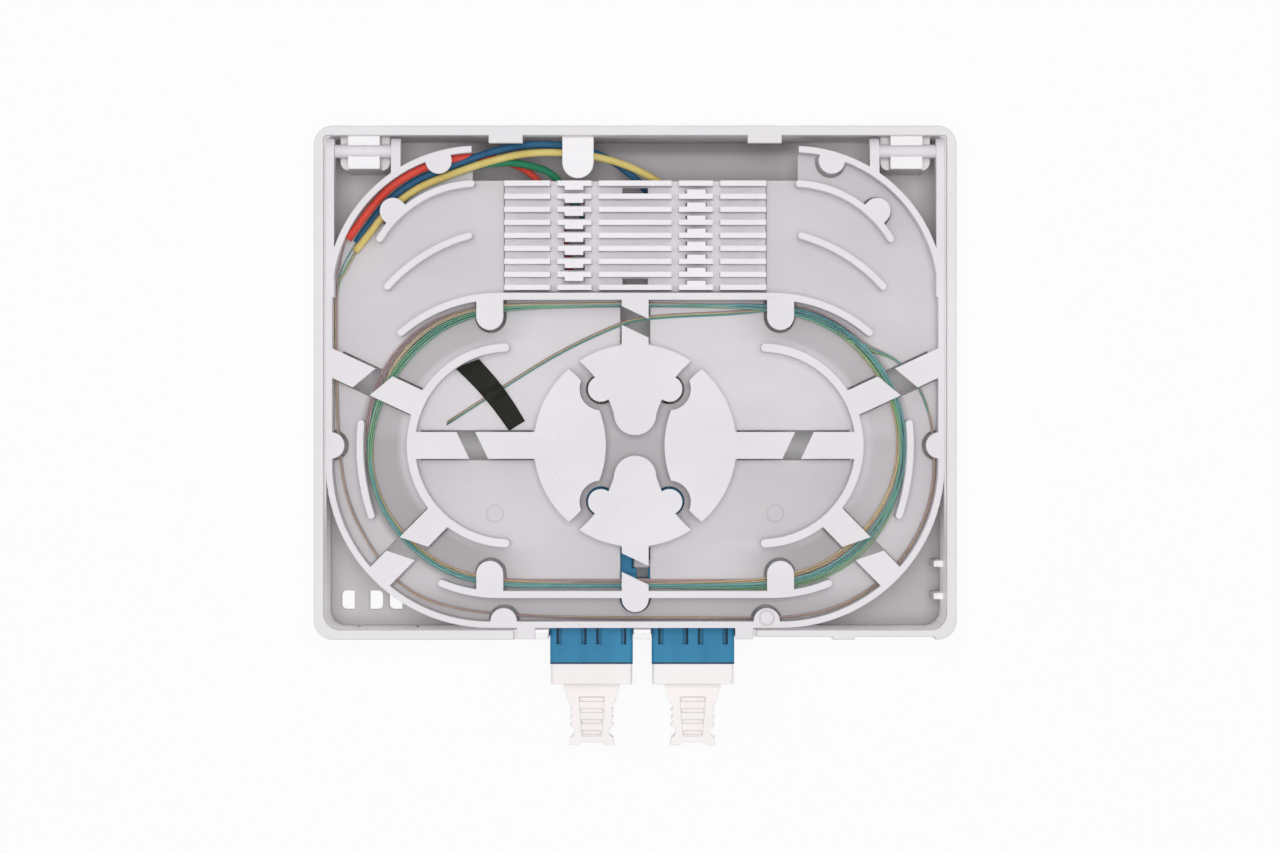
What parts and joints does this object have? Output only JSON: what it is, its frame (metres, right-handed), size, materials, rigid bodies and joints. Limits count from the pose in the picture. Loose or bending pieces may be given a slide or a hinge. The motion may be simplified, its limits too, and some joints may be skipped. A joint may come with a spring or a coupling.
{
  "type": "fibre wall outlet box",
  "caption": "Shallow rectangular wall box for optical fibre with a hinged splice tray, a comb for splices, coiled fibres and capped twin-port adapters in its lower wall.",
  "frame": {"origin": "middle of the back face, on the wall plane", "axes": "+Z out of the wall, +Y up the wall towards the tray hinge, +X to the right seen from the front"},
  "size_m": [0.1, 0.0973, 0.019],
  "materials": {
    "white_shell": "satin moulded",
    "white_tray": "satin moulded",
    "white_comb": "satin moulded",
    "adapter_blue": "satin moulded",
    "cap_ivory": "satin moulded",
    "plug_blue": "satin moulded",
    "boot_white": "soft moulded",
    "ceramic": "ground ceramic",
    "bare_fibre": "coated glass",
    "black_tape": "tape",
    "buffer_red": "extruded",
    "buffer_green": "extruded",
    "buffer_blue": "extruded",
    "buffer_yellow": "extruded"
  },
  "bodies": {
    "base": {"base_housing": "white_shell", "adapter_left_front": "adapter_blue", "adapter_left_rear": "adapter_blue", "adapter_right_front": "adapter_blue", "adapter_right_rear": "adapter_blue", "sleeve_red": "ceramic", "plug_red_housing": "plug_blue", "plug_red_ferrule": "ceramic", "plug_red_boot": "boot_white", "buffer_red_base": "buffer_red", "sleeve_green": "ceramic", "plug_green_housing": "plug_blue", "plug_green_ferrule": "ceramic", "plug_green_boot": "boot_white", "buffer_green_base": "buffer_green", "sleeve_blue": "ceramic", "plug_blue_housing": "plug_blue", "plug_blue_ferrule": "ceramic", "plug_blue_boot": "boot_white", "buffer_blue_base": "buffer_blue", "sleeve_yellow": "ceramic", "plug_yellow_housing": "plug_blue", "plug_yellow_ferrule": "ceramic", "plug_yellow_boot": "boot_white", "buffer_yellow_base": "buffer_yellow"},
    "tray": {"splice_tray": "white_tray", "splice_holder": "white_comb", "buffer_red_tray": "buffer_red", "buffer_green_tray": "buffer_green", "buffer_blue_tray": "buffer_blue", "buffer_yellow_tray": "buffer_yellow", "fibre_coil": "bare_fibre", "fibre_feed": "bare_fibre", "fibre_tail": "bare_fibre", "tape_strip": "black_tape"},
    "cap_left": {"dust_cap_left": "cap_ivory"},
    "cap_right": {"dust_cap_right": "cap_ivory"}
  },
  "joints": [
    {"name": "tray_hinge", "type": "hinge", "parent": "base", "child": "tray", "pos_m": [0, 0.03615, 0.0164], "axis": [-1, 0, 0], "range_deg": [0, 95]},
    {"name": "dust_cap_left_pull", "type": "slide", "parent": "base", "child": "cap_left", "axis": [0, -1, 0], "range_m": [0, 0.008]},
    {"name": "dust_cap_right_pull", "type": "slide", "parent": "base", "child": "cap_right", "axis": [0, -1, 0], "range_m": [0, 0.008]}
  ]
}
